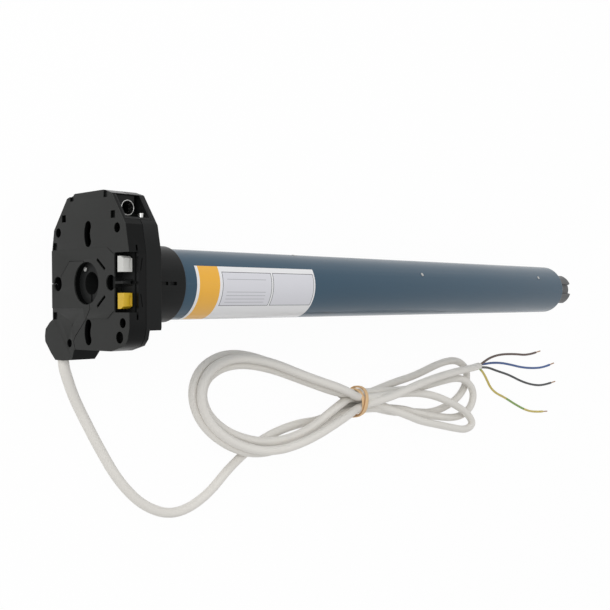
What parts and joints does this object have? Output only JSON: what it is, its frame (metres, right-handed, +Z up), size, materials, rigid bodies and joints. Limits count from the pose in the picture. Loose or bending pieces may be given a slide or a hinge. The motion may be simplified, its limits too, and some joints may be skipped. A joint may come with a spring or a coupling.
{
  "type": "tubular roller blind motor",
  "caption": "Tubular motor for a roller blind: dark plastic head with limit buttons and bracket recess, steel tube with planetary drive, lugged drive end and a bound mains lead",
  "frame": {"origin": "centre of the head's front face, on the axis of the tube", "axes": "+X runs along the tube from the head to the drive end, +Y is the head's long side away from the lead, +Z is up from the table the motor lies on"},
  "size_m": [0.7195, 0.2385, 0.0959],
  "materials": {
    "cover_plastic": "fine-grained, dark grey",
    "housing_plastic": "fine-grained, black",
    "insert_plastic": "smooth, dark grey",
    "tube_paint": "satin blue-grey paint",
    "bright_steel": "bright, machined",
    "cast_metal": "grey, cast",
    "white_plastic": "smooth, white",
    "yellow_plastic": "smooth, yellow",
    "label_film": "printed film",
    "brass_metal": "stamped",
    "copper_winding": "enamelled wire",
    "core_steel": "laminated",
    "gear_steel": "machined",
    "cord_sheath": "smooth, off-white",
    "band_rubber": "smooth, tan",
    "brown_sheath": "smooth, brown",
    "blue_sheath": "smooth, blue",
    "black_sheath": "smooth, black",
    "earth_sheath": "smooth, yellow-green"
  },
  "bodies": {
    "motor": {"front_cover": "cover_plastic", "rear_housing": "housing_plastic", "lead_plug": "cover_plastic", "contact_blades": "brass_metal", "contact_block": "insert_plastic", "head_hub": "insert_plastic", "hub_screw": "bright_steel", "button_frame": "insert_plastic", "limit_switches": "insert_plastic", "corner_socket": "housing_plastic", "corner_eyelet": "bright_steel", "corner_pin": "bright_steel", "neck": "housing_plastic", "motor_tube": "tube_paint", "tube_rivets": "bright_steel", "rating_label": "label_film", "capacitor": "insert_plastic", "capacitor_holders": "insert_plastic", "brake_coil": "copper_winding", "end_bell_rear": "cast_metal", "end_bell_front": "cast_metal", "bearing_rear": "bright_steel", "bearing_front": "bright_steel", "stator": "core_steel", "windings": "copper_winding", "ring_gear": "cast_metal", "end_bush": "cast_metal", "cord_lead": "cord_sheath", "cord_hank": "cord_sheath", "hank_band": "band_rubber", "core_brown": "brown_sheath", "core_blue": "blue_sheath", "core_black": "black_sheath", "core_earth": "earth_sheath", "core_tips": "copper_winding", "spring_white": "bright_steel", "spring_yellow": "bright_steel"},
    "button_white": {"button_white": "white_plastic"},
    "button_yellow": {"button_yellow": "yellow_plastic"},
    "limit_ring": {"limit_ring": "housing_plastic"},
    "limit_pinion": {"limit_pinion": "white_plastic"},
    "output": {"output_shaft": "cast_metal"},
    "carrier_one": {"carrier_one": "gear_steel"},
    "rotor": {"rotor_shaft": "gear_steel", "rotor_core": "core_steel"},
    "brake_disc": {"brake_disc": "core_steel"},
    "planet_one_a": {"planet_one_a": "gear_steel"},
    "planet_one_b": {"planet_one_b": "gear_steel"},
    "planet_one_c": {"planet_one_c": "gear_steel"},
    "planet_two_a": {"planet_two_a": "gear_steel"},
    "planet_two_b": {"planet_two_b": "gear_steel"},
    "planet_two_c": {"planet_two_c": "gear_steel"}
  },
  "joints": [
    {"name": "white_press", "type": "slide", "parent": "motor", "child": "button_white", "axis": [0, 0, -1], "range_m": [0, 0.003], "stiffness_N_per_m": 250, "springref_m": -0.002, "deforming": ["spring_white"]},
    {"name": "yellow_press", "type": "slide", "parent": "motor", "child": "button_yellow", "axis": [0, 0, -1], "range_m": [0, 0.003], "stiffness_N_per_m": 250, "springref_m": -0.002, "deforming": ["spring_yellow"]},
    {"name": "limit_ring_turn", "type": "hinge", "parent": "motor", "child": "limit_ring", "pos_m": [0.044, 0, 0], "axis": [1, 0, 0], "continuous": true},
    {"name": "limit_pinion_turn", "type": "hinge", "parent": "motor", "child": "limit_pinion", "pos_m": [0.0176, 0.01978, 0.02256], "axis": [1, 0, 0], "continuous": true},
    {"name": "drive_turn", "type": "hinge", "parent": "motor", "child": "output", "pos_m": [0.5, 0, 0], "axis": [1, 0, 0], "continuous": true},
    {"name": "carrier_turn", "type": "hinge", "parent": "motor", "child": "carrier_one", "pos_m": [0.43, 0, 0], "axis": [1, 0, 0], "continuous": true},
    {"name": "rotor_turn", "type": "hinge", "parent": "motor", "child": "rotor", "pos_m": [0.3, 0, 0], "axis": [1, 0, 0], "continuous": true},
    {"name": "planet_one_a_turn", "type": "hinge", "parent": "carrier_one", "child": "planet_one_a", "pos_m": [0.417, 0.012, 0], "axis": [1, 0, 0], "continuous": true},
    {"name": "planet_one_b_turn", "type": "hinge", "parent": "carrier_one", "child": "planet_one_b", "pos_m": [0.417, -0.006, 0.01039], "axis": [1, 0, 0], "continuous": true},
    {"name": "planet_one_c_turn", "type": "hinge", "parent": "carrier_one", "child": "planet_one_c", "pos_m": [0.417, -0.006, -0.01039], "axis": [1, 0, 0], "continuous": true},
    {"name": "planet_two_a_turn", "type": "hinge", "parent": "output", "child": "planet_two_a", "pos_m": [0.452, 0.012, 0], "axis": [1, 0, 0], "continuous": true},
    {"name": "planet_two_b_turn", "type": "hinge", "parent": "output", "child": "planet_two_b", "pos_m": [0.452, -0.006, 0.01039], "axis": [1, 0, 0], "continuous": true},
    {"name": "planet_two_c_turn", "type": "hinge", "parent": "output", "child": "planet_two_c", "pos_m": [0.452, -0.006, -0.01039], "axis": [1, 0, 0], "continuous": true},
    {"name": "brake_slide", "type": "slide", "parent": "rotor", "child": "brake_disc", "axis": [-1, 0, 0], "range_m": [0, 0.0005], "stiffness_N_per_m": 400, "springref_m": -0.0005}
  ],
  "couplings": [
    {"joint": "limit_pinion_turn", "follows": "limit_ring_turn", "ratio": -4},
    {"joint": "carrier_turn", "follows": "drive_turn", "ratio": 4},
    {"joint": "rotor_turn", "follows": "drive_turn", "ratio": 16},
    {"joint": "planet_one_a_turn", "follows": "drive_turn", "ratio": -12},
    {"joint": "planet_one_b_turn", "follows": "drive_turn", "ratio": -12},
    {"joint": "planet_one_c_turn", "follows": "drive_turn", "ratio": -12},
    {"joint": "planet_two_a_turn", "follows": "drive_turn", "ratio": -3},
    {"joint": "planet_two_b_turn", "follows": "drive_turn", "ratio": -3},
    {"joint": "planet_two_c_turn", "follows": "drive_turn", "ratio": -3}
  ]
}
